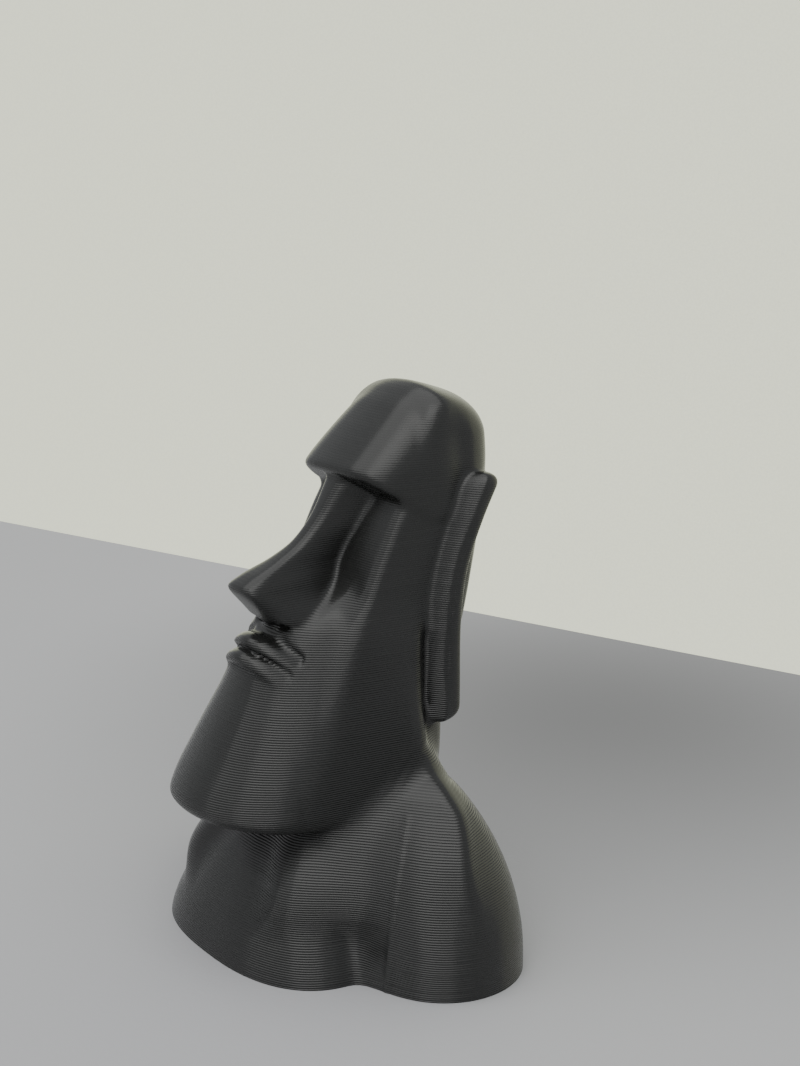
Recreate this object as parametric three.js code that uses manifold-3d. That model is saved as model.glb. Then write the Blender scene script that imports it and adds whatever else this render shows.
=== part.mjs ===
// A small moai bust, 3-D printed in black plastic as one solid piece.
// Millimetres, +Z up. The face looks toward -Y, and the figure's left side is toward +X.
// The origin is the middle of its bounding box, on the flat underside.
import * as THREE from "three";
import { mergeVertices } from "three/addons/utils/BufferGeometryUtils.js";
import Module from "manifold-3d";

// Floor to crown. Every proportion below is in hundredths of this height.
const HEIGHT = 65;
const HUNDREDTH = HEIGHT / 100;

// The torso: three pairs of upright lobes that shrink to nothing at their tops.
// across and deep are half widths in plan, squareness is the exponent of their superellipse.
const CHEST = { x: 0, y: -8.7, across: 25.2, deep: 17.4, squareness: 2.5, top: 26, rise: 1.35, fall: 0.62 };
const SHOULDER = { x: 27.6, y: 6.2, across: 14.4, deep: 14.6, squareness: 2, top: 31.5, rise: 2.2, fall: 0.66 };
const BACK = { x: 0, y: 5, across: 31, deep: 14, squareness: 2.5, top: 35, rise: 1.7, fall: 1.1 };
const SHOULDER_LEAN = { from: 5, amount: 0.03, power: 1.7, back: 0.5 };
const VALLEY_ROUND = 4.6;
const CHEST_TO_BACK = 5;
// A flat web closes the valley between chest and shoulder above the foot, and rises to the neck.
// Near the foot it tilts back toward the shoulder.
// facing is the heading of its outward side in degrees, measured from the front toward the side.
const WEB_REACH = [
  [0, 12], [5, 17], [9, 20.8], [12, 22.6], [16, 22.5], [20, 20.8], [24, 18.2], [28, 15], [31, 11.8],
  [34, 7], [42, -8],
];
const WEB_OUTER = [[0, 30.5], [16, 31], [22, 30.6], [28, 28.8], [31, 25.7], [34, 21.4], [38, 17], [42, 12]];
const WEB = {
  facing: 40, inner: -3, innerEdge: 5, back: 12, edge: 2.2, steep: 0.86, join: 5, tilt: 0.16, tiltAt: 13,
  tiltLow: 13, tiltHigh: 23,
};
const NECK = { y: 7.6, lean: -0.06, leanFrom: 35, across: 12.9, deep: 13.8, top: 47, topRound: 5, blend: 10 };

// The head's block, as curves over the height: [height, value].
const HEAD_BACK = [[25, 16.8], [40, 17.6], [50, 20], [60, 22.9], [80, 27.2], [88, 28.2], [100, 27.5]];
const EYE_PLANE = [[45, -9], [56, -4.8], [65, -0.9], [70, 1.3], [76, 4.2], [82, 7.4], [95, 13]];
const EYE_PLANE_TURN = { from: 5, slope: 0.1 };
const HEAD_SIDE = [[25, 14.2], [45, 14.6], [65, 13.9], [80, 13.2], [100, 11.2]];
const HEAD_SPREAD = { slope: 0.08, from: 6, reach: 16 };
const HEAD_ROUND = { cheek: 2.6, back: 7, crown: 4.2, throat: 6 };
const CROWN = { top: 100.42, fallFrom: 17, fall: 0.3, bow: 0.016, steep: 0.94 };
const THROAT = { height: 35, rise: 0.5, from: 2 };

// The forehead: a block that overhangs the eyes.
const BROW_FRONT = [[80, -2.9], [85, -0.8], [88.5, 2.4], [96, 10.5], [104, 19.5]];
const BROW_SIDE = [[78, 12.6], [86, 12.3], [92, 11.2], [100, 8.8]];
const BROW = {
  bow: 0.014, spread: 0.11, spreadFrom: -4, spreadTo: 24, corner: 7, end: 20, endRound: 6, under: 84.9,
  underFall: 0.62, underFrom: 0.5, underBefore: -3, underAfter: 12, edge: 1.6, join: 1.3,
};

// The long jaw, with an overhanging chin.
const JAW_FRONT = [
  [22, -28.2], [25.5, -29.6], [30, -29.8], [38.3, -25.2], [47.6, -19.7], [53, -17.2], [58, -13], [64, -5],
];
const JAW_SIDE = [[24, 18.6], [32, 18.3], [42, 16.7], [52, 14.4], [60, 13.4]];
// The jaw's corner is a flat band that faces JAW.facing, at this distance out.
const JAW_CORNER = [[26, 25], [32.5, 23.4], [36.5, 21.9], [42, 19.5], [48, 16.7], [54, 14.2], [62, 11]];
const JAW = {
  bow: 0.026, spread: 0.14, spreadAt: -4, spreadBefore: -12, spreadAfter: 10, facing: 56, edge: 2.6,
  bottom: 26.2, bottomRise: 0.1, bottomFrom: -25, bottomRound: 3.6, end: 10, endRound: 3, top: 64,
  topFall: 0.6, topFallFrom: 8, topRound: 4, join: 3,
};

// The nose: a straight bridge that runs out to a wide tip, cut off below at a slope.
const NOSE_RIDGE = [
  [58, -14], [62, -17.3], [65.6, -20.2], [68, -17.2], [70.6, -11.1], [73, -6.8], [77, -2.9], [82, 0.2],
  [86, 2.6],
];
const NOSE_FRONT = [[58, 5.4], [66, 4.6], [70, 2.7], [74, 2], [80, 2.1], [86, 3]];
const NOSE_FLARE = [[56, 0.34], [60, 0.2], [64, -0.02], [68, -0.04], [72, 0.06], [76, 0.25], [82, 0.42]];
// How widely the nose's front is rounded into its sides, over the height.
const NOSE_EDGE = [[58, 3.4], [64, 3.4], [69, 2.2], [75, 1.3], [86, 1.3]];
const NOSE = {
  bow: 0.03, endRound: 1.4, under: 60.2, underSlope: 1.05, underAt: -13.8, underEdge: 1.5, end: 9, top: 85,
  join: 1,
};

const LIPS = [{ z: 56.6, y: -15.6, across: 9.4 }, { z: 53.9, y: -17.3, across: 8.8 }];
const LIP = { tall: 1.5, deep: 2.2, bow: 0.055, droop: 0.05, squareness: 6, join: 0.8 };

// The ears: long upright slabs on the sides of the head, leaning back toward their tops.
const EAR_MIDDLE = [[40, 14.3], [46, 14.2], [59, 14.6], [68, 16], [77, 19.3], [84, 22.6]];
const EAR_HALF = [[40, 3.6], [46, 3.6], [60, 3], [72, 2.7], [84, 3.2]];
const EAR = {
  outside: 17.9, chamfer: 1.15, front: 0.3, inside: 9, edge: 1.8, bottom: 40, bottomBow: 0.05, bottomAt: 13,
  bottomRound: 2.2, top: 85, topBow: 0.06, topAt: 23, topRound: 2.4, join: 1,
};
const HEAD_TO_BODY = 2.6;
// Slanted faces are scaled by these, so that they meet the upright ones in even roundings.
const STEEP = {
  eyePlane: 0.88, back: 0.96, throat: 0.9, brow: 0.74, browUnder: 0.85, jaw: 0.86, jawTop: 0.7,
  noseRidge: 0.72, noseSide: 0.9, noseUnder: 0.7,
};

// How finely the surface is followed: [from, to, steps] along each axis, in hundredths of the height.
// The grid leans back with the ears, so that their edges run along its lines.
const LINES_ACROSS = [[-46, -20, 7], [-20, 20, 22], [20, 46, 7]];
const LINES_DEEP = [[-42, -34, 2], [-34, -14, 9], [-14, 8, 10], [8, 20, 6], [20, 30, 4]];
const LINES_UP = [[-5, 0, 2], [0, 24, 7], [24, 50, 11], [50, 62, 10], [62, 103, 19]];
const BELOW_FLOOR = 4;
// Each corner of the mesh settles onto the form in short, limited steps, so that creases stay clean.
const SETTLE = { steps: 2, probe: 0.6, reach: 0.45, flattest: 0.5 };

const { clamp, degToRad, smoothstep } = THREE.MathUtils;

function smoothMax(a, b, radius) {
  const share = clamp(0.5 + (0.5 * (a - b)) / radius, 0, 1);
  return b * (1 - share) + a * share + radius * share * (1 - share);
}

function smoothMin(a, b, radius) {
  return -smoothMax(-a, -b, radius);
}

// A smooth curve through [height, value] stations, straight beyond both ends.
function track(stations) {
  const last = stations.length - 1;
  const slopes = stations.map((_, i) => {
    const [z0, v0] = stations[Math.max(i - 1, 0)];
    const [z1, v1] = stations[Math.min(i + 1, last)];
    return (v1 - v0) / (z1 - z0);
  });
  return (z) => {
    if (z <= stations[0][0]) return stations[0][1] + slopes[0] * (z - stations[0][0]);
    if (z >= stations[last][0]) return stations[last][1] + slopes[last] * (z - stations[last][0]);
    let i = 0;
    while (z >= stations[i + 1][0]) i += 1;
    const [z0, v0] = stations[i];
    const [z1, v1] = stations[i + 1];
    const width = z1 - z0;
    const t = (z - z0) / width;
    const start = v0 * (1 + 2 * t) + slopes[i] * width * t;
    const finish = v1 * (3 - 2 * t) + slopes[i + 1] * width * (t - 1);
    return start * (1 - t) ** 2 + finish * t ** 2;
  };
}

const webReach = track(WEB_REACH);
const webOuter = track(WEB_OUTER);
const headBack = track(HEAD_BACK);
const eyePlane = track(EYE_PLANE);
const headSide = track(HEAD_SIDE);
const browFront = track(BROW_FRONT);
const browSide = track(BROW_SIDE);
const jawFront = track(JAW_FRONT);
const jawSide = track(JAW_SIDE);
const jawCorner = track(JAW_CORNER);
const noseRidge = track(NOSE_RIDGE);
const noseFront = track(NOSE_FRONT);
const noseFlare = track(NOSE_FLARE);
const noseEdge = track(NOSE_EDGE);
const earMiddle = track(EAR_MIDDLE);
const earHalf = track(EAR_HALF);

// Each form below is a number at a point: negative inside, zero on the surface, positive outside.
// x is the distance from the middle plane, so both halves are alike.

function lobe(x, y, z, size, leanIn = 0) {
  const across = Math.abs((x - size.x + leanIn) / size.across) ** size.squareness;
  const deep = Math.abs((y - size.y) / size.deep) ** size.squareness;
  const radius = (across + deep) ** (1 / size.squareness);
  const shrink = (1 - clamp(z / size.top, 0, 1) ** size.rise) ** size.fall;
  return (radius - shrink) * Math.min(size.across, size.deep) + Math.max(z - size.top, 0);
}

function torso(x, y, z) {
  const lean = SHOULDER_LEAN.amount * Math.max(z - SHOULDER_LEAN.from, 0) ** SHOULDER_LEAN.power;
  const shoulder = lobe(x, y - SHOULDER_LEAN.back * lean, z, SHOULDER, lean);
  const middle = smoothMin(lobe(x, y, z, CHEST), lobe(x, y, z, BACK), CHEST_TO_BACK);
  return smoothMin(smoothMin(middle, shoulder, VALLEY_ROUND), web(x, y, z), WEB.join);
}

function web(x, y, z) {
  const facing = degToRad(WEB.facing);
  const out = Math.sin(facing) * x - Math.cos(facing) * y;
  const along = Math.cos(facing) * x + Math.sin(facing) * y;
  const tilt = WEB.tilt * (1 - smoothstep(z, WEB.tiltLow, WEB.tiltHigh)) * (along - WEB.tiltAt);
  let form = smoothMax((out + tilt - webReach(z)) * WEB.steep, WEB.inner - along, WEB.innerEdge);
  form = smoothMax(form, along - webOuter(z), WEB.edge);
  return smoothMax(form, y - WEB.back, WEB.edge);
}

function neck(x, y, z) {
  const middle = NECK.y + NECK.lean * (z - NECK.leanFrom);
  const radius = Math.hypot(x / NECK.across, (y - middle) / NECK.deep);
  return smoothMax((radius - 1) * NECK.across, z - NECK.top, NECK.topRound);
}

function belowCrown(x, y, z) {
  const fall = CROWN.fall * Math.max(y - CROWN.fallFrom, 0);
  return (z - CROWN.top + fall + CROWN.bow * x * x) * CROWN.steep;
}

function skull(x, y, z) {
  const side = headSide(z) + HEAD_SPREAD.slope * clamp(y - HEAD_SPREAD.from, -HEAD_SPREAD.reach, HEAD_SPREAD.reach);
  const plane = eyePlane(z) + EYE_PLANE_TURN.slope * Math.max(x - EYE_PLANE_TURN.from, 0);
  let form = smoothMax(x - side, (plane - y) * STEEP.eyePlane, HEAD_ROUND.cheek);
  form = smoothMax(form, (y - headBack(z)) * STEEP.back, HEAD_ROUND.back);
  form = smoothMax(form, belowCrown(x, y, z), HEAD_ROUND.crown);
  const throat = THROAT.height - z - THROAT.rise * (y - THROAT.from);
  return smoothMax(form, throat * STEEP.throat, HEAD_ROUND.throat);
}

function forehead(x, y, z) {
  const front = browFront(z) + BROW.bow * x * x;
  const side = browSide(z) + BROW.spread * clamp(y, BROW.spreadFrom, BROW.spreadTo);
  let form = smoothMax((front - y) * STEEP.brow, x - side, BROW.corner);
  form = smoothMax(form, belowCrown(x, y, z), HEAD_ROUND.crown);
  form = smoothMax(form, y - BROW.end, BROW.endRound);
  const under = BROW.under - BROW.underFall * clamp(y - BROW.underFrom, BROW.underBefore, BROW.underAfter);
  return smoothMax(form, (under - z) * STEEP.browUnder, BROW.edge);
}

function jaw(x, y, z) {
  const front = jawFront(z) + JAW.bow * x * x;
  const side = jawSide(z) + JAW.spread * clamp(y - JAW.spreadAt, JAW.spreadBefore, JAW.spreadAfter);
  const facing = degToRad(JAW.facing);
  const corner = Math.sin(facing) * x - Math.cos(facing) * y - jawCorner(z);
  let form = smoothMax((front - y) * STEEP.jaw, corner * STEEP.jaw, JAW.edge);
  form = smoothMax(form, x - side, JAW.edge);
  form = smoothMax(form, JAW.bottom - z - JAW.bottomRise * (y - JAW.bottomFrom), JAW.bottomRound);
  form = smoothMax(form, y - JAW.end, JAW.endRound);
  const top = z - JAW.top + JAW.topFall * Math.max(x - JAW.topFallFrom, 0);
  return smoothMax(form, top * STEEP.jawTop, JAW.topRound);
}

function nose(x, y, z) {
  const ridge = noseRidge(z);
  const side = noseFront(z) + noseFlare(z) * (y - ridge);
  const front = (ridge + NOSE.bow * x * x - y) * STEEP.noseRidge;
  let form = smoothMax(front, (x - side) * STEEP.noseSide, noseEdge(z));
  const under = NOSE.under - NOSE.underSlope * (y - NOSE.underAt);
  form = smoothMax(form, (under - z) * STEEP.noseUnder, NOSE.underEdge);
  form = smoothMax(form, y - NOSE.end, NOSE.endRound);
  return smoothMax(form, z - NOSE.top, NOSE.endRound);
}

function lip(x, y, z, place) {
  const up = (z - place.z + LIP.droop * x * x) / LIP.tall;
  const out = (y - place.y - LIP.bow * x * x) / LIP.deep;
  return (Math.sqrt(up * up + out * out + (x / place.across) ** LIP.squareness) - 1) * LIP.tall;
}

function ear(x, y, z) {
  const lead = earMiddle(z) - y;
  const outside = EAR.outside - EAR.chamfer * Math.max(lead - EAR.front, 0);
  let form = smoothMax(Math.abs(lead) - earHalf(z), x - outside, EAR.edge);
  form = smoothMax(form, EAR.bottom + EAR.bottomBow * (y - EAR.bottomAt) ** 2 - z, EAR.bottomRound);
  form = smoothMax(form, z - EAR.top + EAR.topBow * (y - EAR.topAt) ** 2, EAR.topRound);
  return smoothMax(form, EAR.inside - x, EAR.edge);
}

function statue(px, y, z) {
  const x = Math.abs(px);
  const body = smoothMin(torso(x, y, z), neck(x, y, z), NECK.blend);
  let head = smoothMin(skull(x, y, z), forehead(x, y, z), BROW.join);
  head = smoothMin(head, jaw(x, y, z), JAW.join);
  head = smoothMin(head, nose(x, y, z), NOSE.join);
  for (const place of LIPS) head = smoothMin(head, lip(x, y, z, place), LIP.join);
  head = smoothMin(head, ear(x, y, z), EAR.join);
  return Math.max(smoothMin(body, head, HEAD_TO_BODY), -BELOW_FLOOR - z);
}

// Grid lines from zones of even steps.
function lines(zones) {
  const places = [zones[0][0]];
  for (const [from, to, steps] of zones) {
    for (let i = 1; i <= steps; i += 1) places.push(from + ((to - from) * i) / steps);
  }
  return places;
}

function leanBack(z) {
  const [foot, top] = [EAR_MIDDLE[0][0], EAR.top];
  return earMiddle(clamp(z, foot, top)) - earMiddle(foot);
}

// Moves a point onto the surface along the form's own slope.
function ontoSurface(form, point) {
  const probes = point.map((_, axis) => {
    const ahead = point.map((place, a) => place + (a === axis ? SETTLE.probe : 0));
    const behind = point.map((place, a) => place - (a === axis ? SETTLE.probe : 0));
    return (form(...ahead) - form(...behind)) / (2 * SETTLE.probe);
  });
  const slope = new THREE.Vector3(...probes);
  const move = clamp(form(...point) / Math.max(slope.length(), SETTLE.flattest), -SETTLE.reach, SETTLE.reach);
  const direction = slope.normalize().toArray();
  return point.map((place, axis) => place - move * direction[axis]);
}

// A closed mesh of the form: one vertex in each grid cell that the surface passes through,
// and one four-sided face across each grid edge that it cuts.
function surfaceOf(form) {
  const axes = [lines(LINES_ACROSS), lines(LINES_DEEP), lines(LINES_UP)];
  const [xs, ys, zs] = axes;
  const index = (i, j, k) => (i * ys.length + j) * zs.length + k;
  const values = new Float64Array(xs.length * ys.length * zs.length);
  const placeOf = ([i, j, k]) => [xs[i], ys[j] + leanBack(zs[k]), zs[k]];
  xs.forEach((_, i) => ys.forEach((__, j) => zs.forEach((___, k) => {
    values[index(i, j, k)] = form(...placeOf([i, j, k]));
  })));

  const cells = new Map();
  const quads = [];
  const touch = (cell, point) => {
    const key = index(...cell);
    if (!cells.has(key)) cells.set(key, { sum: [0, 0, 0], count: 0 });
    const entry = cells.get(key);
    point.forEach((place, axis) => { entry.sum[axis] += place; });
    entry.count += 1;
    return key;
  };
  const visit = (at, axis) => {
    const next = [...at];
    next[axis] += 1;
    if (next[axis] >= axes[axis].length) return;
    const here = values[index(...at)];
    const there = values[index(...next)];
    if (here < 0 === there < 0) return;
    const share = here / (here - there);
    const [start, end] = [placeOf(at), placeOf(next)];
    const point = start.map((place, a) => place + share * (end[a] - place));
    const [b, c] = [(axis + 1) % 3, (axis + 2) % 3];
    const around = [[-1, -1], [0, -1], [0, 0], [-1, 0]].map(([db, dc]) => {
      const cell = [...at];
      cell[b] += db;
      cell[c] += dc;
      return touch(cell, point);
    });
    quads.push(here < 0 ? around : around.reverse());
  };
  for (let i = 0; i < xs.length; i += 1) {
    for (let j = 0; j < ys.length; j += 1) {
      for (let k = 0; k < zs.length; k += 1) [0, 1, 2].forEach((axis) => visit([i, j, k], axis));
    }
  }

  const numbers = new Map();
  const points = [];
  for (const [key, { sum, count }] of cells) {
    let point = sum.map((total) => total / count);
    for (let i = 0; i < SETTLE.steps; i += 1) point = ontoSurface(form, point);
    numbers.set(key, points.length);
    points.push(new THREE.Vector3(...point));
  }
  const triangles = [];
  for (const quad of quads) {
    const [a, b, c, d] = quad.map((key) => numbers.get(key));
    const acrossFirst = points[a].distanceTo(points[c]) <= points[b].distanceTo(points[d]);
    triangles.push(...(acrossFirst ? [a, b, c, a, c, d] : [a, b, d, b, c, d]));
  }
  const geometry = new THREE.BufferGeometry().setFromPoints(points);
  geometry.setIndex(triangles);
  return geometry.scale(HUNDREDTH, HUNDREDTH, HUNDREDTH);
}

const wasm = await Module();
wasm.setup();

function solidOf(geometry) {
  const bare = geometry.clone();
  bare.deleteAttribute("normal");
  bare.deleteAttribute("uv");
  const merged = mergeVertices(bare);
  return new wasm.Manifold(new wasm.Mesh({
    numProp: 3,
    vertProperties: new Float32Array(merged.attributes.position.array),
    triVerts: new Uint32Array(merged.index.array),
  }));
}

function geometryOf(solid) {
  const { vertProperties, triVerts } = solid.getMesh();
  const geometry = new THREE.BufferGeometry();
  geometry.setAttribute("position", new THREE.BufferAttribute(new Float32Array(vertProperties), 3));
  geometry.setIndex(new THREE.BufferAttribute(new Uint32Array(triVerts), 1));
  return geometry;
}

// The foot is cut off flat at the print bed.
function cutAtFloor(geometry) {
  const bedSide = 4 * HEIGHT;
  const bed = new THREE.BoxGeometry(bedSide, bedSide, HEIGHT).translate(0, 0, -HEIGHT / 2);
  return geometryOf(solidOf(geometry).subtract(solidOf(bed)));
}

// The origin goes to the middle of the bounding box, on the underside.
function centred(geometry) {
  geometry.computeBoundingBox();
  const middle = geometry.boundingBox.getCenter(new THREE.Vector3());
  return geometry.translate(-middle.x, -middle.y, 0);
}

const blackPlastic = new THREE.MeshStandardMaterial({ color: 0x1b1c1b, roughness: 0.42, metalness: 0 });

const bust = new THREE.Mesh(centred(cutAtFloor(surfaceOf(statue))), blackPlastic);
bust.name = "moai_statue";
bust.geometry.computeVertexNormals();

const group = new THREE.Group();
group.add(bust);

export default group;
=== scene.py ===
"""Looks of a small moai bust, 3-D printed in black plastic, that stands on a pale desk."""

import math

import bmesh
import bpy
import numpy as np
from mathutils import Matrix, Vector


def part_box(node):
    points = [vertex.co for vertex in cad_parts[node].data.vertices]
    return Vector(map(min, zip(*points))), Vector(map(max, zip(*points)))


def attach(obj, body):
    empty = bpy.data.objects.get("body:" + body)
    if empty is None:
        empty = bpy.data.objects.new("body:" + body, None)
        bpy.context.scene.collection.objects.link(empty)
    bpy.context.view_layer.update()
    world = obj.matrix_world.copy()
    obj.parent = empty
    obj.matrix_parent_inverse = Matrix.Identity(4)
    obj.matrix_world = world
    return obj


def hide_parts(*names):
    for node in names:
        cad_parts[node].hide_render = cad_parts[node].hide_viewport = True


# The form is worked out in hundredths of the statue's height, like the CAD solid, and faces -Y.
# x is the distance from the middle plane. Tables run over the height: [height, value].

CHEST = dict(x=0, y=-8.7, across=25.2, deep=17.4, squareness=2.5, top=26, rise=1.35, fall=0.62)
SHOULDER = dict(x=27.6, y=6.2, across=14.4, deep=14.6, squareness=2, top=31.5, rise=2.2, fall=0.66)
BACK = dict(x=0, y=5, across=31, deep=14, squareness=2.5, top=35, rise=1.7, fall=1.1)
SHOULDER_LEAN = dict(start=5, amount=0.03, power=1.7, back=0.5)
VALLEY_ROUND = 4.6
# A flat web closes the valley between chest and shoulder, above the foot: [height, distance out].
WEB_REACH = [[0, 12], [5, 17], [9, 20.8], [12, 22.6], [16, 22.5], [20, 20.8], [24, 18.2], [28, 15],
             [31, 11.8], [34, 7], [42, -8]]
WEB_OUTER = [[0, 30.5], [16, 31], [22, 30.6], [28, 28.8], [31, 25.7], [34, 21.4], [38, 17], [42, 12]]
WEB = dict(facing=40, inner=-3, innerEdge=5, back=12, edge=2.2, steep=0.86, join=5,
           tilt=0.16, tiltAt=13, tiltLow=13, tiltHigh=23)
CHEST_TO_BACK = 5
NECK = dict(y=7.6, lean=-0.06, leanFrom=35, across=12.9, deep=13.8, top=47, topRound=5, blend=10)

HEAD_BACK = [[25, 16.8], [40, 17.6], [50, 20], [60, 22.9], [80, 27.2], [88, 28.2], [100, 27.5]]
EYE_PLANE = [[45, -9], [56, -4.8], [65, -0.9], [70, 1.3], [76, 4.2], [82, 7.4], [95, 13]]
EYE_PLANE_TURN = dict(start=5, slope=0.1)
HEAD_SIDE = [[25, 14.2], [45, 14.6], [65, 13.9], [80, 13.2], [100, 11.2]]
HEAD_SPREAD = dict(slope=0.08, start=6, reach=16)
HEAD_ROUND = dict(cheek=2.6, back=7, crown=4.2, throat=6)
CROWN = dict(top=100.42, fallFrom=17, fall=0.3, bow=0.016, steep=0.94)
THROAT = dict(height=35, rise=0.5, start=2)

BROW_FRONT = [[80, -2.9], [85, -0.8], [88.5, 2.4], [96, 10.5], [104, 19.5]]
BROW_SIDE = [[78, 12.6], [86, 12.3], [92, 11.2], [100, 8.8]]
BROW = dict(bow=0.014, spread=0.11, spreadFrom=-4, spreadTo=24, corner=7, end=20, endRound=6,
            under=84.9, underFall=0.62, underFrom=0.5, underBefore=-3, underAfter=12, edge=1.6, join=1.3)

JAW_FRONT = [[22, -28.2], [25.5, -29.6], [30, -29.8], [38.3, -25.2], [47.6, -19.7], [53, -17.2],
             [58, -13], [64, -5]]
JAW_SIDE = [[24, 18.6], [32, 18.3], [42, 16.7], [52, 14.4], [60, 13.4]]
# The jaw's corner is a flat band that faces JAW.facing: [height, distance out].
JAW_CORNER = [[26, 25], [32.5, 23.4], [36.5, 21.9], [42, 19.5], [48, 16.7], [54, 14.2], [62, 11]]
JAW = dict(bow=0.026, spread=0.14, spreadAt=-4, spreadBefore=-12, spreadAfter=10, facing=56, edge=2.6,
           bottom=26.2, bottomRise=0.1, bottomFrom=-25, bottomRound=3.6, end=10, endRound=3,
           top=64, topFall=0.6, topFallFrom=8, topRound=4, join=3)

NOSE_RIDGE = [[58, -14], [62, -17.3], [65.6, -20.2], [68, -17.2], [70.6, -11.1], [73, -6.8], [77, -2.9],
              [82, 0.2], [86, 2.6]]
NOSE_FRONT = [[58, 5.4], [66, 4.6], [70, 2.7], [74, 2], [80, 2.1], [86, 3]]
NOSE_FLARE = [[56, 0.34], [60, 0.2], [64, -0.02], [68, -0.04], [72, 0.06], [76, 0.25], [82, 0.42]]
NOSE_EDGE = [[58, 3.4], [64, 3.4], [69, 2.2], [75, 1.3], [86, 1.3]]
NOSE = dict(bow=0.03, endRound=1.4, under=60.2, underSlope=1.05, underAt=-13.8, underEdge=1.5, end=9,
            top=85, join=1)

LIPS = [dict(z=56.6, y=-15.6, across=9.4), dict(z=53.9, y=-17.3, across=8.8)]
LIP = dict(tall=1.5, deep=2.2, bow=0.055, droop=0.05, squareness=6, join=0.8)

EAR_MIDDLE = [[40, 14.3], [46, 14.2], [59, 14.6], [68, 16], [77, 19.3], [84, 22.6]]
EAR_HALF = [[40, 3.6], [46, 3.6], [60, 3], [72, 2.7], [84, 3.2]]
EAR = dict(outside=17.9, chamfer=1.15, front=0.3, inside=9, edge=1.8,
           bottom=40, bottomBow=0.05, bottomAt=13, bottomRound=2.2,
           top=85, topBow=0.06, topAt=23, topRound=2.4, join=1)
HEAD_TO_BODY = 2.6
# What each slanted face's distance is multiplied by, so that it is as steep as the others.
STEEP = dict(eyePlane=0.88, back=0.96, throat=0.9, brow=0.74, browUnder=0.85, jaw=0.86, jawTop=0.7,
             noseRidge=0.72, noseSide=0.9, noseUnder=0.7)


def smooth_max(a, b, radius):
    share = np.clip(0.5 + 0.5 * (a - b) / radius, 0, 1)
    return b * (1 - share) + a * share + radius * share * (1 - share)


def smooth_min(a, b, radius):
    return -smooth_max(-a, -b, radius)


def smooth_step(value, low, high):
    t = np.clip((value - low) / (high - low), 0, 1)
    return t * t * (3 - 2 * t)


def track(z, stations):
    heights = np.array([s[0] for s in stations], float)
    values = np.array([s[1] for s in stations], float)
    last = len(stations) - 1
    before = np.maximum(np.arange(last + 1) - 1, 0)
    after = np.minimum(np.arange(last + 1) + 1, last)
    slopes = (values[after] - values[before]) / (heights[after] - heights[before])
    inside = np.clip(z, heights[0], heights[-1])
    i = np.clip(np.searchsorted(heights, inside, side="right") - 1, 0, last - 1)
    width = heights[i + 1] - heights[i]
    t = (inside - heights[i]) / width
    start = values[i] * (1 + 2 * t) + slopes[i] * width * t
    finish = values[i + 1] * (3 - 2 * t) + slopes[i + 1] * width * (t - 1)
    beyond = slopes[0] * np.minimum(z - heights[0], 0) + slopes[-1] * np.maximum(z - heights[-1], 0)
    return start * (1 - t) ** 2 + finish * t ** 2 + beyond


def lobe(x, y, z, size, lean=0):
    across = np.abs((x - size["x"] + lean) / size["across"]) ** size["squareness"]
    deep = np.abs((y - size["y"]) / size["deep"]) ** size["squareness"]
    radius = (across + deep) ** (1 / size["squareness"])
    shrink = (1 - np.clip(z / size["top"], 0, 1) ** size["rise"]) ** size["fall"]
    return (radius - shrink) * min(size["across"], size["deep"]) + np.maximum(z - size["top"], 0)


def torso(x, y, z):
    lean = SHOULDER_LEAN["amount"] * np.maximum(z - SHOULDER_LEAN["start"], 0) ** SHOULDER_LEAN["power"]
    shoulder = lobe(x, y - SHOULDER_LEAN["back"] * lean, z, SHOULDER, lean)
    middle = smooth_min(lobe(x, y, z, CHEST), lobe(x, y, z, BACK), CHEST_TO_BACK)
    form = smooth_min(middle, shoulder, VALLEY_ROUND)
    return smooth_min(form, web(x, y, z), WEB["join"])


def web(x, y, z):
    facing = np.radians(WEB["facing"])
    out = np.sin(facing) * x - np.cos(facing) * y
    along = np.cos(facing) * x + np.sin(facing) * y
    tilt = WEB["tilt"] * (1 - smooth_step(z, WEB["tiltLow"], WEB["tiltHigh"])) * (along - WEB["tiltAt"])
    face = (out + tilt - track(z, WEB_REACH)) * WEB["steep"]
    form = smooth_max(face, WEB["inner"] - along, WEB["innerEdge"])
    form = smooth_max(form, along - track(z, WEB_OUTER), WEB["edge"])
    return smooth_max(form, y - WEB["back"], WEB["edge"])


def neck(x, y, z):
    middle = NECK["y"] + NECK["lean"] * (z - NECK["leanFrom"])
    radius = np.hypot(x / NECK["across"], (y - middle) / NECK["deep"])
    return smooth_max((radius - 1) * NECK["across"], z - NECK["top"], NECK["topRound"])


def below_crown(x, y, z):
    fall = CROWN["fall"] * np.maximum(y - CROWN["fallFrom"], 0)
    return (z - CROWN["top"] + fall + CROWN["bow"] * x * x) * CROWN["steep"]


def skull(x, y, z):
    reach = HEAD_SPREAD["reach"]
    side = track(z, HEAD_SIDE) + HEAD_SPREAD["slope"] * np.clip(y - HEAD_SPREAD["start"], -reach, reach)
    plane = track(z, EYE_PLANE) + EYE_PLANE_TURN["slope"] * np.maximum(x - EYE_PLANE_TURN["start"], 0)
    form = smooth_max(x - side, (plane - y) * STEEP["eyePlane"], HEAD_ROUND["cheek"])
    form = smooth_max(form, (y - track(z, HEAD_BACK)) * STEEP["back"], HEAD_ROUND["back"])
    form = smooth_max(form, below_crown(x, y, z), HEAD_ROUND["crown"])
    throat = THROAT["height"] - z - THROAT["rise"] * (y - THROAT["start"])
    return smooth_max(form, throat * STEEP["throat"], HEAD_ROUND["throat"])


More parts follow.
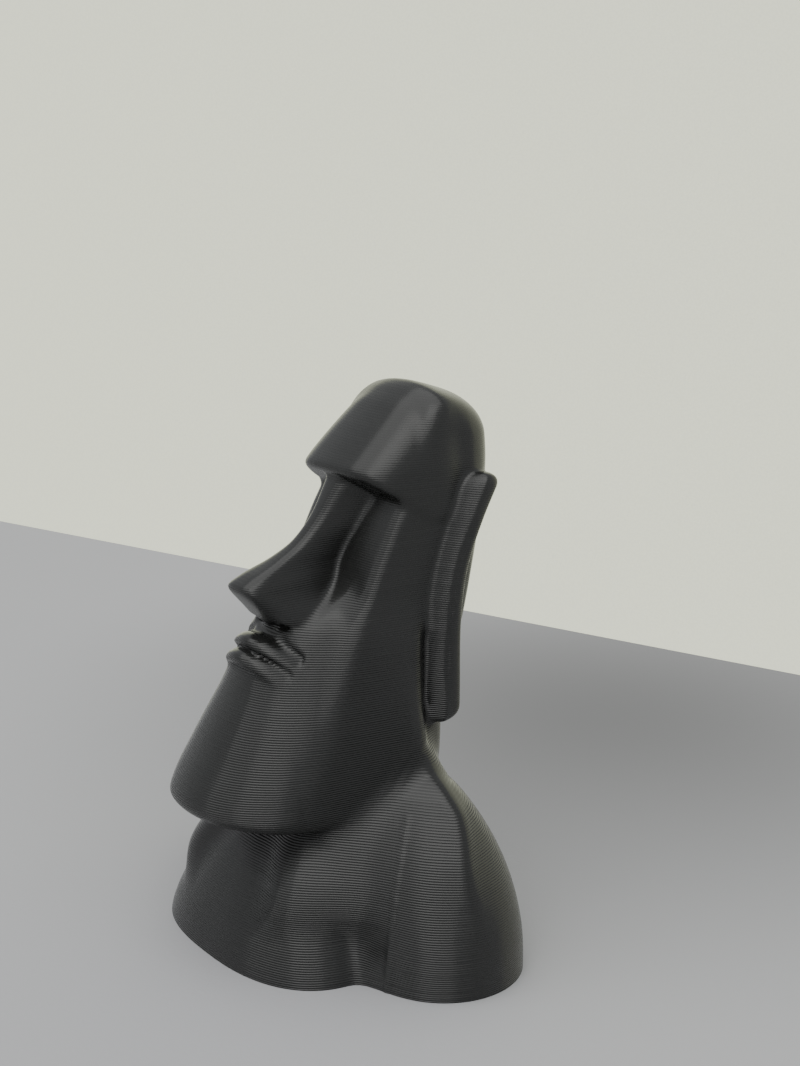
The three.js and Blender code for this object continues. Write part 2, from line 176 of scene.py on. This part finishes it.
def forehead(x, y, z):
    front = track(z, BROW_FRONT) + BROW["bow"] * x * x
    side = track(z, BROW_SIDE) + BROW["spread"] * np.clip(y, BROW["spreadFrom"], BROW["spreadTo"])
    form = smooth_max((front - y) * STEEP["brow"], x - side, BROW["corner"])
    form = smooth_max(form, below_crown(x, y, z), HEAD_ROUND["crown"])
    form = smooth_max(form, y - BROW["end"], BROW["endRound"])
    behind = np.clip(y - BROW["underFrom"], BROW["underBefore"], BROW["underAfter"])
    under = BROW["under"] - BROW["underFall"] * behind
    return smooth_max(form, (under - z) * STEEP["browUnder"], BROW["edge"])


def jaw(x, y, z):
    front = track(z, JAW_FRONT) + JAW["bow"] * x * x
    behind = np.clip(y - JAW["spreadAt"], JAW["spreadBefore"], JAW["spreadAfter"])
    side = track(z, JAW_SIDE) + JAW["spread"] * behind
    facing = np.radians(JAW["facing"])
    corner = np.sin(facing) * x - np.cos(facing) * y - track(z, JAW_CORNER)
    form = smooth_max((front - y) * STEEP["jaw"], corner * STEEP["jaw"], JAW["edge"])
    form = smooth_max(form, x - side, JAW["edge"])
    bottom = JAW["bottom"] - z - JAW["bottomRise"] * (y - JAW["bottomFrom"])
    form = smooth_max(form, bottom, JAW["bottomRound"])
    form = smooth_max(form, y - JAW["end"], JAW["endRound"])
    top = z - JAW["top"] + JAW["topFall"] * np.maximum(x - JAW["topFallFrom"], 0)
    return smooth_max(form, top * STEEP["jawTop"], JAW["topRound"])


def nose(x, y, z):
    ridge = track(z, NOSE_RIDGE)
    side = track(z, NOSE_FRONT) + track(z, NOSE_FLARE) * (y - ridge)
    front = (ridge + NOSE["bow"] * x * x - y) * STEEP["noseRidge"]
    form = smooth_max(front, (x - side) * STEEP["noseSide"], track(z, NOSE_EDGE))
    under = NOSE["under"] - NOSE["underSlope"] * (y - NOSE["underAt"])
    form = smooth_max(form, (under - z) * STEEP["noseUnder"], NOSE["underEdge"])
    form = smooth_max(form, y - NOSE["end"], NOSE["endRound"])
    return smooth_max(form, z - NOSE["top"], NOSE["endRound"])


def lip(x, y, z, place):
    up = (z - place["z"] + LIP["droop"] * x * x) / LIP["tall"]
    out = (y - place["y"] - LIP["bow"] * x * x) / LIP["deep"]
    return (np.sqrt(up * up + out * out + (x / place["across"]) ** LIP["squareness"]) - 1) * LIP["tall"]


def ear(x, y, z):
    lead = track(z, EAR_MIDDLE) - y
    outside = EAR["outside"] - EAR["chamfer"] * np.maximum(lead - EAR["front"], 0)
    form = smooth_max(np.abs(lead) - track(z, EAR_HALF), x - outside, EAR["edge"])
    bottom = EAR["bottom"] + EAR["bottomBow"] * (y - EAR["bottomAt"]) ** 2
    form = smooth_max(form, bottom - z, EAR["bottomRound"])
    form = smooth_max(form, z - EAR["top"] + EAR["topBow"] * (y - EAR["topAt"]) ** 2, EAR["topRound"])
    return smooth_max(form, EAR["inside"] - x, EAR["edge"])


def head(x, y, z):
    form = smooth_min(skull(x, y, z), forehead(x, y, z), BROW["join"])
    form = smooth_min(form, jaw(x, y, z), JAW["join"])
    form = smooth_min(form, nose(x, y, z), NOSE["join"])
    for place in LIPS:
        form = smooth_min(form, lip(x, y, z, place), LIP["join"])
    return smooth_min(form, ear(x, y, z), EAR["join"])


def statue(px, y, z):
    x = np.abs(px)
    body = smooth_min(torso(x, y, z), neck(x, y, z), NECK["blend"])
    return smooth_min(body, head(x, y, z), HEAD_TO_BODY)


# Finer carving, which the CAD solid leaves plain. half is half a groove's or streak's width, and fade
# is how far its ends run out.
MOUTH_LINES = [
    dict(z=57.97, drop=0.0454, half=0.75, depth=0.75, middle=0.35, inner=4.2, outer=9.6),
    dict(z=55.43, drop=0.0452, half=0.72, depth=0.4, middle=0.5, inner=4, outer=9.3),
]
MOUTH_BACK = (-11, -8)
MOUTH_FADE = 1
NOSTRIL = dict(x=3.6, y=-12.7, z=59.3, across=1.8, deep=2.2, tall=0.8, edge=0.8)
EAR_GROOVE = dict(ahead=0.1, half=0.4, power=2, depth=0.45, low=47, high=76, fade=4)
EAR_LOBE = dict(ahead=3.0, half=0.85, power=2, depth=0.5, low=43, high=57, fade=1.4)
EAR_CARVED = (13, 15)
SINEW = dict(y=8.8, z=38.5, slope=1.04, apart=2.0, half=0.55, height=0.14, low=32, high=40, fade=2.5,
             inner=13, outer=15)
SEAM = dict(facing=40, foot=18.05, lean=0.03, half=0.42, height=0.16, inner=6, outer=8, top=27.5,
            topFade=1, pitch=3.1, blob=0.35)


def band(value, low, high, fade):
    """1 between low and high, 0 well outside them."""
    above = smooth_step(value, low - fade, low + fade)
    return above * (1 - smooth_step(value, high - fade, high + fade))


def mouth_depth(x, y, z):
    depth = 0
    for line in MOUTH_LINES:
        groove = np.exp(-((z - line["z"] + line["drop"] * x * x) / line["half"]) ** 2)
        corner = smooth_step(x, line["inner"] - MOUTH_FADE, line["inner"] + MOUTH_FADE)
        strength = line["middle"] + (1 - line["middle"]) * corner
        end = 1 - smooth_step(x, line["outer"] - MOUTH_FADE, line["outer"])
        depth = depth + line["depth"] * groove * strength * end
    return depth * (1 - smooth_step(y, *MOUTH_BACK))


def nostril(x, y, z):
    across = (x - NOSTRIL["x"]) / NOSTRIL["across"]
    deep = (y - NOSTRIL["y"]) / NOSTRIL["deep"]
    tall = (z - NOSTRIL["z"]) / NOSTRIL["tall"]
    return (np.sqrt(across ** 2 + deep ** 2 + tall ** 2) - 1) * NOSTRIL["tall"]


def ear_depth(x, y, z):
    ahead = track(z, EAR_MIDDLE) - y
    depth = 0
    for cut in (EAR_GROOVE, EAR_LOBE):
        hollow = np.exp(-np.abs((ahead - cut["ahead"]) / cut["half"]) ** cut["power"])
        depth = depth + cut["depth"] * hollow * band(z, cut["low"], cut["high"], cut["fade"])
    return depth * smooth_step(x, *EAR_CARVED)


def sinew_height(x, y, z):
    """Two faint streaks that run down the side of the neck from below the ear."""
    height = 0
    for place in (0, SINEW["apart"]):
        behind = y - SINEW["y"] + place - SINEW["slope"] * (z - SINEW["z"])
        aside = behind / math.hypot(1, SINEW["slope"])
        height = height + np.exp(-(aside / SINEW["half"]) ** 2)
    reach = band(z, SINEW["low"], SINEW["high"], SINEW["fade"])
    return SINEW["height"] * height * reach * smooth_step(x, SINEW["inner"], SINEW["outer"])


def seam_height(px, y, z):
    """The line on the figure's left where each printed layer starts, with a few small blobs."""
    facing = math.radians(SEAM["facing"])
    out = math.sin(facing) * px - math.cos(facing) * y
    along = math.cos(facing) * px + math.sin(facing) * y
    line = np.exp(-((along - SEAM["foot"] - SEAM["lean"] * z) / SEAM["half"]) ** 2)
    blobs = 1 + SEAM["blob"] * np.sin(z * math.tau / SEAM["pitch"])
    below_top = 1 - smooth_step(z, SEAM["top"], SEAM["top"] + SEAM["topFade"])
    reach = smooth_step(out, SEAM["inner"], SEAM["outer"]) * below_top
    return SEAM["height"] * line * blobs * reach


def carved_statue(px, y, z):
    x = np.abs(px)
    form = smooth_max(statue(px, y, z), -nostril(x, y, z), NOSTRIL["edge"])
    form = form + mouth_depth(x, y, z) + ear_depth(x, y, z)
    return form - sinew_height(x, y, z) - seam_height(px, y, z)


# Mesh of the form. STEP is the grid's spacing in hundredths of the height.
STEP = 0.53
GRID_LOW = (-44.5, -33, -3)
GRID_HIGH = (44.5, 34, 102)
BELOW_FLOOR = 2
SETTLE = dict(rounds=2, probe=0.2, reach=0.2, flattest=0.4)
LEVEL = 0.999
ON_FLOOR = 0.00001


def closed_statue(px, y, z):
    """The carved statue, closed a little below the floor, where it is cut off later."""
    return np.maximum(carved_statue(px, y, z), -BELOW_FLOOR - z)


def surface_nets(form):
    """One vertex in each grid cell that the surface passes through, one face on each edge it cuts."""
    axes = [np.arange(low, high + STEP, STEP) for low, high in zip(GRID_LOW, GRID_HIGH)]
    values = form(axes[0][:, None, None], axes[1][None, :, None], axes[2][None, None, :])
    inside = values < 0
    cells = np.array(values.shape) - 1
    total = np.zeros((*cells, 3))
    count = np.zeros(cells)
    faces = []
    for axis in range(3):
        here = [slice(None)] * 3
        there = [slice(None)] * 3
        here[axis] = slice(0, -1)
        there[axis] = slice(1, None)
        crossed = np.argwhere(inside[tuple(here)] != inside[tuple(there)])
        before = values[tuple(here)][tuple(crossed.T)]
        after = values[tuple(there)][tuple(crossed.T)]
        points = np.stack([axes[a][crossed[:, a]] for a in range(3)], axis=1)
        points[:, axis] += before / (before - after) * STEP
        corners = []
        for shift_b, shift_c in ((-1, -1), (0, -1), (0, 0), (-1, 0)):
            cell = crossed.copy()
            cell[:, (axis + 1) % 3] += shift_b
            cell[:, (axis + 2) % 3] += shift_c
            np.add.at(total, tuple(cell.T), points)
            np.add.at(count, tuple(cell.T), 1)
            corners.append(np.ravel_multi_index(tuple(cell.T), tuple(cells)))
        quads = np.stack(corners, axis=1)
        quads[before >= 0] = quads[before >= 0][:, ::-1]
        faces.append(quads)
    used = np.flatnonzero(count.ravel())
    points = total.reshape(-1, 3)[used] / count.ravel()[used, None]
    return points, np.searchsorted(used, np.concatenate(faces))


def settle(form, points):
    """Moves the points onto the surface in short, limited steps."""
    for _ in range(SETTLE["rounds"]):
        slope = np.zeros_like(points)
        for axis in range(3):
            probe = np.zeros(3)
            probe[axis] = SETTLE["probe"]
            ahead = form(*(points + probe).T)
            behind = form(*(points - probe).T)
            slope[:, axis] = (ahead - behind) / (2 * SETTLE["probe"])
        steepness = np.maximum(np.linalg.norm(slope, axis=1), SETTLE["flattest"])
        move = np.clip(form(*points.T) / steepness, -SETTLE["reach"], SETTLE["reach"])
        points = points - slope * (move / steepness)[:, None]
    return points


def cut_at_floor(mesh):
    work = bmesh.new()
    work.from_mesh(mesh)
    geometry = work.verts[:] + work.edges[:] + work.faces[:]
    down = (0, 0, -1)
    bmesh.ops.bisect_plane(work, geom=geometry, plane_co=(0, 0, 0), plane_no=down, clear_outer=True)
    rim = [edge for edge in work.edges if edge.is_boundary]
    bmesh.ops.triangle_fill(work, edges=rim, use_beauty=True, normal=down)
    bmesh.ops.recalc_face_normals(work, faces=work.faces)
    for face in work.faces:
        face.smooth = abs(face.normal.z) < LEVEL or face.calc_center_median().z > ON_FLOOR
    for edge in work.edges:
        edge.smooth = all(face.smooth for face in edge.link_faces)
    work.to_mesh(mesh)
    work.free()


def make_bust(box, material):
    """The bust at the solid's place and height, with a hundredth of the height and the shift along y.

    Both of these are in metres.
    """
    hundredth = (box[1].z - box[0].z) / 100
    points, faces = surface_nets(closed_statue)
    points = settle(closed_statue, points)
    standing = points[points[:, 2] > 0]
    shift = -0.5 * (standing[:, 1].min() + standing[:, 1].max()) * hundredth
    points = points * hundredth + np.array([0, shift, 0])
    mesh = bpy.data.meshes.new("moai_bust_surface")
    mesh.from_pydata(points.tolist(), [], faces.tolist())
    cut_at_floor(mesh)
    mesh.materials.append(material)
    bust = bpy.data.objects.new("moai_bust_surface", mesh)
    bpy.context.collection.objects.link(bust)
    return bust, hundredth, shift


# Materials. Their lengths are in metres.

LAYER = 0.00025
WANDER = dict(scale=260.0, share=0.35)
# Each bead's bulge and gloss change with the height: crisp lines low down, soft ones on the head.
BEAD = dict(curl=0.75, chance=0.3, step=0.9, blend=0.2, low=0.028, high=0.05, crisp=1.3, soft=0.34)
GLOSS = dict(low=0.026, high=0.05, glossy=0.13, satin=0.22, uneven=0.1)
GRAIN = dict(stretch=(900.0, 900.0, 4000.0), detail=2.0, relief=0.12, depth=0.00003)
PLASTIC = dict(dark=(0.0105, 0.0108, 0.0102), pale=(0.0165, 0.0168, 0.016), chance=0.25, grain=0.5)
DESK_TONES = ((0.42, 0.42, 0.43), (0.395, 0.395, 0.41))
WALL_TONES = ((0.70, 0.718, 0.565), (0.60, 0.616, 0.485))
WALL_STRENGTH = 1.9
# Sockets of a Mix node: the two that it mixes and its result.
VECTOR_SOCKETS = (4, 5, 1)
COLOUR_SOCKETS = (6, 7, 2)


class Nodes:
    """A short way to write a material's node tree."""

    def __init__(self, name):
        self.material = bpy.data.materials.new(name)
        self.material.use_nodes = True
        self.tree = self.material.node_tree
        self.tree.nodes.clear()

    def add(self, kind, inputs=None, **settings):
        node = self.tree.nodes.new(kind)
        for key, value in settings.items():
            setattr(node, key, value)
        for key, value in (inputs or {}).items():
            socket = node.inputs[key]
            if isinstance(value, bpy.types.NodeSocket):
                self.tree.links.new(value, socket)
            else:
                socket.default_value = value
        return node

    def math(self, operation, *values):
        return self.add("ShaderNodeMath", dict(enumerate(values)), operation=operation).outputs[0]

    def vector(self, operation, *values):
        return self.add("ShaderNodeVectorMath", dict(enumerate(values)), operation=operation).outputs[0]

    def noise(self, place, scale, detail):
        inputs = {"Vector": place, "Scale": scale, "Detail": detail}
        return self.add("ShaderNodeTexNoise", inputs).outputs["Fac"]

    def by_height(self, height, low, high, below, above):
        """A value that goes from one to the other between two heights."""
        inputs = {"Value": height, "From Min": low, "From Max": high, "To Min": below, "To Max": above}
        return self.add("ShaderNodeMapRange", inputs).outputs[0]

    def mix_vectors(self, share, first, second):
        a, b, result = VECTOR_SOCKETS
        inputs = {"Factor": share, a: first, b: second}
        return self.add("ShaderNodeMix", inputs, data_type="VECTOR").outputs[result]

    def mix_colours(self, share, first, second):
        a, b, result = COLOUR_SOCKETS
        inputs = {"Factor": share, a: (*first, 1), b: (*second, 1)}
        return self.add("ShaderNodeMix", inputs, data_type="RGBA").outputs[result]

    def finish(self, shader):
        output = self.add("ShaderNodeOutputMaterial")
        self.tree.links.new(shader, output.inputs["Surface"])
        return self.material


def print_layers(n, place, height):
    """How far up its layer each point is, from -1 to 1, and a chance value for the layer."""
    wander = n.math("MULTIPLY", n.noise(place, WANDER["scale"], 1.0), WANDER["share"])
    layer = n.math("ADD", n.math("DIVIDE", height, LAYER), wander)
    across = n.math("SUBTRACT", n.math("MULTIPLY", n.math("FRACT", layer), 2.0), 1.0)
    number = n.math("FLOOR", layer)
    luck = n.add("ShaderNodeTexWhiteNoise", {"W": number}, noise_dimensions="1D").outputs["Value"]
    return across, luck


def beaded_normal(n, height, across, luck):
    """The normal on beads that bulge out level from the form and lie in steps on a slope."""
    normal = n.add("ShaderNodeNewGeometry").outputs["Normal"]
    slope = n.add("ShaderNodeSeparateXYZ", {0: normal}).outputs
    aside = n.add("ShaderNodeCombineXYZ", {"X": slope["X"], "Y": slope["Y"]}).outputs[0]
    level = n.vector("NORMALIZE", aside)
    steepness = n.math("SUBTRACT", 1.0, n.math("MULTIPLY", slope["Z"], slope["Z"]))
    bulge = n.by_height(height, BEAD["low"], BEAD["high"], BEAD["crisp"], BEAD["soft"])
    uneven = n.math("ADD", n.math("MULTIPLY", luck, BEAD["chance"]), BEAD["curl"])
    curl = n.math("MULTIPLY", uneven, bulge)
    tilt = n.math("ADD", n.math("MULTIPLY", across, curl), n.math("MULTIPLY", slope["Z"], BEAD["step"]))
    bead = n.vector("ADD", level, n.add("ShaderNodeCombineXYZ", {"Z": tilt}).outputs[0])
    share = n.math("SMOOTH_MIN", steepness, 1.0, BEAD["blend"])
    return n.vector("NORMALIZE", n.mix_vectors(share, normal, n.vector("NORMALIZE", bead)))


def black_plastic():
    """Satin black filament laid in level beads, one on the other."""
    n = Nodes("printed_black_plastic")
    place = n.add("ShaderNodeTexCoord").outputs["Object"]
    height = n.add("ShaderNodeSeparateXYZ", {0: place}).outputs["Z"]
    across, luck = print_layers(n, place, height)
    stretch = {"Vector": place, "Scale": GRAIN["stretch"]}
    grain = n.noise(n.add("ShaderNodeMapping", stretch).outputs[0], 1.0, GRAIN["detail"])
    layered = beaded_normal(n, height, across, luck)
    dents = {"Strength": GRAIN["relief"], "Distance": GRAIN["depth"], "Height": grain, "Normal": layered}

    by_layer = n.math("MULTIPLY", luck, PLASTIC["chance"])
    shade = n.math("ADD", by_layer, n.math("MULTIPLY", grain, PLASTIC["grain"]))
    smoothest = n.by_height(height, GLOSS["low"], GLOSS["high"], GLOSS["glossy"], GLOSS["satin"])
    shader = n.add("ShaderNodeBsdfPrincipled", {
        "Base Color": n.mix_colours(shade, PLASTIC["dark"], PLASTIC["pale"]),
        "Roughness": n.math("ADD", n.math("MULTIPLY", grain, GLOSS["uneven"]), smoothest),
        "Normal": n.add("ShaderNodeBump", dents).outputs[0],
        "IOR": 1.46,
    })
    return n.finish(shader.outputs[0])


def desk_paper_painted_shadow(shadow_place, reach):
    """A matt pale sheet with faint blotches, and a painted shadow that darkens its colour around one
    place and fades out at its reach.
    """
    n = Nodes("pale_desk_paper")
    place = n.add("ShaderNodeTexCoord").outputs["Object"]
    blotch = n.noise(place, 9.0, 3.0)
    fibre = n.noise(place, 1440.0, 2.0)
    colour = n.mix_colours(blotch, *DESK_TONES)
    # Painted shadow: the desk's colour is scaled down near one place, not shaded by a lamp.
    away = n.add("ShaderNodeVectorMath", {0: place, 1: shadow_place}, operation="DISTANCE").outputs["Value"]
    painted_shadow_range = {"Value": away, "From Max": reach, "To Min": DESK_SHADOW_DIMMEST}
    painted_shadow_scale = n.add("ShaderNodeMapRange", painted_shadow_range, interpolation_type="SMOOTHSTEP").outputs[0]
    painted = n.add("ShaderNodeVectorMath", {0: colour, "Scale": painted_shadow_scale}, operation="SCALE").outputs[0]
    relief = {"Strength": 0.12, "Distance": 0.0002, "Height": fibre}
    shader = n.add("ShaderNodeBsdfPrincipled", {
        "Base Color": painted,
        "Roughness": 0.85,
        "Normal": n.add("ShaderNodeBump", relief).outputs[0],
    })
    return n.finish(shader.outputs[0])


def bright_wall():
    """A wall in even light of its own, with a fine grain."""
    n = Nodes("bright_wall_paint")
    place = n.add("ShaderNodeTexCoord").outputs["Object"]
    colour = n.mix_colours(n.noise(place, 380.0, 2.0), *WALL_TONES)
    return n.finish(n.add("ShaderNodeEmission", {"Color": colour, "Strength": WALL_STRENGTH}).outputs[0])


# Camera: the place, in hundredths of the height, and the heading from which the photograph was taken.

IMAGE = (800, 1066)
FOCAL_PIXELS = 1600
CAMERA_AT = (227.3, -159.2, 141.4)
CAMERA_AZIMUTH = 55
CAMERA_YAW = 2.71
CAMERA_PITCH = 13.66
CAMERA_ROLL = 1


def camera_axes():
    angles = (CAMERA_AZIMUTH, CAMERA_YAW, CAMERA_PITCH, CAMERA_ROLL)
    azimuth, yaw, pitch, roll = map(math.radians, angles)
    heading = Vector((-math.sin(azimuth), math.cos(azimuth), 0))
    aside = Vector((math.cos(azimuth), math.sin(azimuth), 0))
    level_ahead = math.cos(yaw) * heading + math.sin(yaw) * aside
    level_right = -math.sin(yaw) * heading + math.cos(yaw) * aside
    ahead = math.cos(pitch) * level_ahead - math.sin(pitch) * Vector((0, 0, 1))
    level_up = math.sin(pitch) * level_ahead + math.cos(pitch) * Vector((0, 0, 1))
    right = math.cos(roll) * level_right + math.sin(roll) * level_up
    up = -math.sin(roll) * level_right + math.cos(roll) * level_up
    return right, up, ahead


def make_camera(hundredth, shift):
    right, up, ahead = camera_axes()
    data = bpy.data.cameras.new("photo_camera")
    data.sensor_fit = "VERTICAL"
    data.lens = FOCAL_PIXELS / IMAGE[1] * data.sensor_height
    data.clip_start = 0.01
    data.clip_end = 20
    camera = bpy.data.objects.new("photo_camera", data)
    place = Vector(CAMERA_AT) * hundredth + Vector((0, shift, 0))
    turn = Matrix((right, up, -ahead)).transposed().to_4x4()
    camera.matrix_world = Matrix.Translation(place) @ turn
    bpy.context.collection.objects.link(camera)
    bpy.context.scene.camera = camera
    return camera


# The desk's far edge, as it crosses the left and right of the image. The wall is well behind it,
# so that views from behind look over the desk from between the two.
DESK_EDGE = ((0, 521), (800, 675))
DESK_DEPTH = 4.0
ROOM_HALF_WIDTH = 3.0
WALL_BEHIND = 1.6
WALL_FOOT = -1.5
WALL_TOP = 1.5

# Painted shadow: the desk's colour is darkest at the first of these image points, and at its full tone
# from the second on.
DESK_PAINTED_SHADOW = ((615, 714), (100, 1000))
DESK_SHADOW_DIMMEST = 0.4


def on_floor(camera, pixel):
    right, up, ahead = camera_axes()
    across = (pixel[0] - IMAGE[0] / 2) / FOCAL_PIXELS
    down = (pixel[1] - IMAGE[1] / 2) / FOCAL_PIXELS
    way = ahead + across * right - down * up
    start = camera.matrix_world.translation
    return start - way * (start.z / way.z)


def plane(name, corners, material):
    mesh = bpy.data.meshes.new(name)
    mesh.from_pydata([tuple(corner) for corner in corners], [], [(0, 1, 2, 3)])
    mesh.materials.append(material)
    piece = bpy.data.objects.new(name, mesh)
    bpy.context.collection.objects.link(piece)


def make_room(camera):
    left, right = (on_floor(camera, pixel) for pixel in DESK_EDGE)
    along = (right - left).normalized()
    middle = (left + right) / 2
    near = Vector((along.y, -along.x, 0))
    if (camera.matrix_world.translation - middle).dot(near) < 0:
        near = -near
    a, b = middle - along * ROOM_HALF_WIDTH, middle + along * ROOM_HALF_WIDTH
    # The place and reach of the painted shadow on the desk.
    shadow_place, bright_place = (on_floor(camera, pixel) for pixel in DESK_PAINTED_SHADOW)
    desk = desk_paper_painted_shadow(shadow_place, (bright_place - shadow_place).length)
    plane("desk", (a + near * DESK_DEPTH, b + near * DESK_DEPTH, b, a), desk)
    low, high = Vector((0, 0, WALL_FOOT)), Vector((0, 0, WALL_TOP))
    wall_a, wall_b = a - near * WALL_BEHIND, b - near * WALL_BEHIND
    plane("wall", (wall_a + low, wall_b + low, wall_b + high, wall_a + high), bright_wall())


LIGHTS = [
    dict(name="window_light", azimuth=47, elevation=46, distance=0.7, size=(0.5, 0.6), power=1.2,
         colour=(1.0, 0.99, 0.96)),
    dict(name="ceiling_light", azimuth=5, elevation=68, distance=1.6, size=(2.2, 2.2), power=21,
         colour=(1.0, 1.0, 0.98)),
]
# The lights face this height, in hundredths of the statue's.
LIT_HEIGHT = 45
ROOM_COLOUR = (0.86, 0.88, 0.9)
ROOM_STRENGTH = 0.8


def area_light(name, azimuth, elevation, distance, size, power, colour, target):
    """A light that faces the target. Its azimuth is counted from -Y toward +X."""
    data = bpy.data.lights.new(name, "AREA")
    data.shape = "RECTANGLE"
    data.size, data.size_y = size
    data.energy = power
    data.color = colour
    light = bpy.data.objects.new(name, data)
    a, e = math.radians(azimuth), math.radians(elevation)
    toward = Vector((math.sin(a) * math.cos(e), -math.cos(a) * math.cos(e), math.sin(e)))
    light.location = target + toward * distance
    light.rotation_euler = (-toward).to_track_quat("-Z", "Y").to_euler()
    bpy.context.collection.objects.link(light)


def make_lights(target):
    for light in LIGHTS:
        area_light(**light, target=target)
    world = bpy.data.worlds.new("room_light")
    bpy.context.scene.world = world
    world.use_nodes = True
    background = world.node_tree.nodes["Background"]
    background.inputs["Color"].default_value = (*ROOM_COLOUR, 1)
    background.inputs["Strength"].default_value = ROOM_STRENGTH


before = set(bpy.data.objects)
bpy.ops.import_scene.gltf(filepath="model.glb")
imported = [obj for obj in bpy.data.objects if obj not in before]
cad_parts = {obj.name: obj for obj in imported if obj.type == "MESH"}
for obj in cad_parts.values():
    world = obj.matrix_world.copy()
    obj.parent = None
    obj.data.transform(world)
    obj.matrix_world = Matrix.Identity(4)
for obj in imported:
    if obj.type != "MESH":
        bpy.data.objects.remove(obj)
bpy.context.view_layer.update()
solid_box = [Vector(corner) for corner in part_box("moai_statue")]
bust, hundredth, shift = make_bust(solid_box, black_plastic())
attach(bust, "root")
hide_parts("moai_statue")
camera = make_camera(hundredth, shift)
make_room(camera)
make_lights(Vector((0, 0, LIT_HEIGHT * hundredth)))
